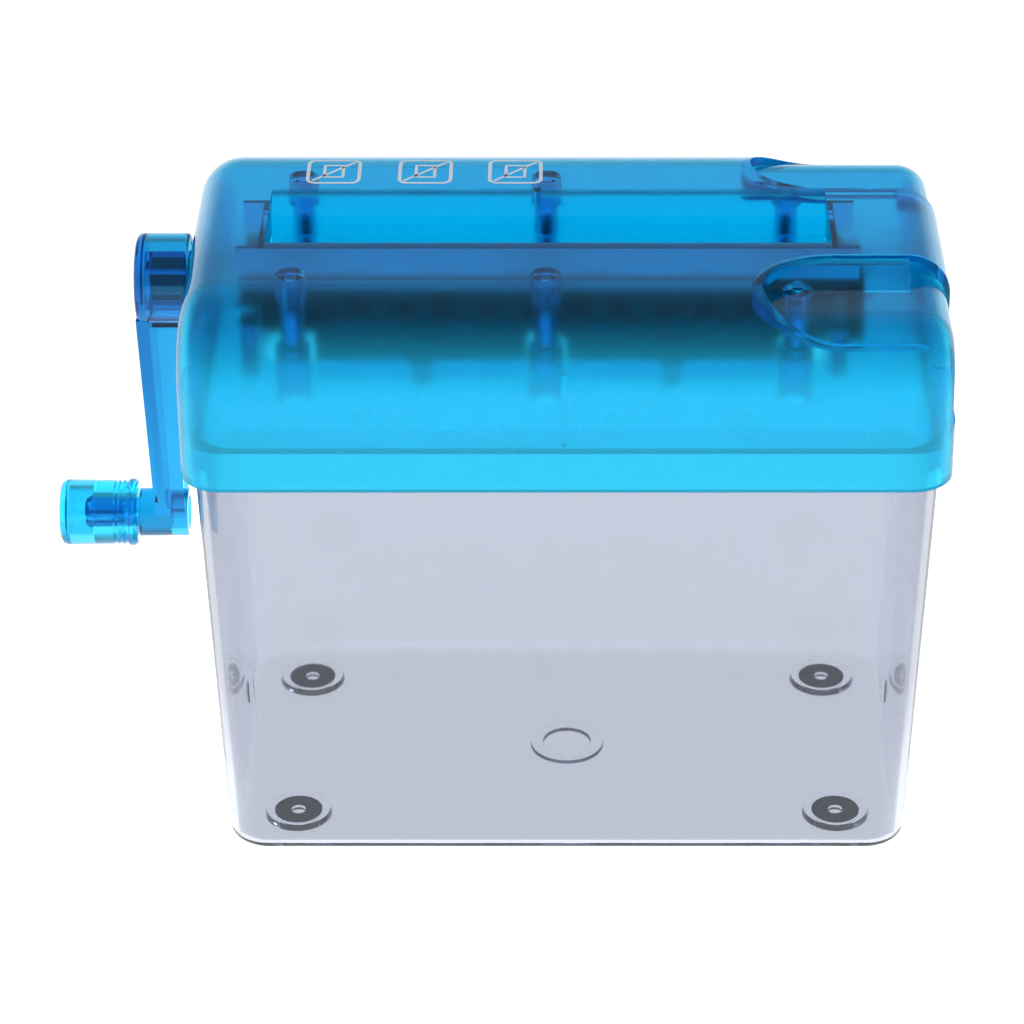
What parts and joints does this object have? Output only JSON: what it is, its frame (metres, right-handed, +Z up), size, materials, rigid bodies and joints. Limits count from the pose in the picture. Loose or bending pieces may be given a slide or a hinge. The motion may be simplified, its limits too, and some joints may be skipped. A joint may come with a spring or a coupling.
{
  "type": "hand-crank paper shredder",
  "caption": "Small desktop hand-crank paper shredder: translucent head with a top paper slot and cutter rollers, side crank, clear tapered waste bin on rubber feet.",
  "frame": {"origin": "on the table, under the middle of the whole object, crank included; the middle of the bin is at X = +14.2 mm", "axes": "+X to the right, away from the crank; +Y to the back; +Z up"},
  "size_m": [0.1704, 0.0854, 0.1183],
  "materials": {
    "blue_plastic": "translucent blue, polished outside",
    "clear_plastic": "clear, polished",
    "black_plastic": "matt black",
    "grey_plastic": "matt grey",
    "cutter_steel": "black-oxide steel",
    "shaft_steel": "bright drawn",
    "bush_metal": "sintered bronze",
    "screw_steel": "zinc plated",
    "foot_rubber": "matt",
    "print_ink": "pad-printed"
  },
  "bodies": {
    "bin": {"bin": "clear_plastic", "rubber_feet": "foot_rubber"},
    "head": {"head_shell": "blue_plastic", "head_base": "blue_plastic", "left_bearing_cap": "black_plastic", "right_bearing_cap": "black_plastic", "bearing_bushes": "bush_metal", "bearing_cap_screws": "screw_steel", "front_stripper_comb": "grey_plastic", "rear_stripper_comb": "grey_plastic", "comb_screws": "screw_steel", "case_screws": "screw_steel"},
    "crank": {"crank_arm": "blue_plastic", "drive_coupling": "black_plastic", "drive_shaft": "shaft_steel", "drive_shaft_clips": "shaft_steel", "drive_cutter_discs": "cutter_steel", "drive_spacers": "black_plastic", "drive_gear": "black_plastic"},
    "idler_roller": {"idler_shaft": "shaft_steel", "idler_shaft_clips": "shaft_steel", "idler_cutter_discs": "cutter_steel", "idler_spacers": "black_plastic", "idler_gear": "black_plastic"},
    "knob": {"crank_knob": "blue_plastic"}
  },
  "joints": [
    {"name": "head_lift", "type": "slide", "parent": "bin", "child": "head", "axis": [0, 0, 1], "range_m": [0, 0.03]},
    {"name": "crank_spin", "type": "hinge", "parent": "head", "child": "crank", "pos_m": [0, 0.0055, 0.1032], "axis": [1, 0, 0], "continuous": true},
    {"name": "idler_spin", "type": "hinge", "parent": "head", "child": "idler_roller", "pos_m": [0, -0.0055, 0.1032], "axis": [1, 0, 0], "continuous": true},
    {"name": "knob_spin", "type": "hinge", "parent": "crank", "child": "knob", "pos_m": [-0.0776, 0.0055, 0.0522], "axis": [1, 0, 0], "continuous": true}
  ],
  "couplings": [
    {"joint": "idler_spin", "follows": "crank_spin", "ratio": -1}
  ]
}
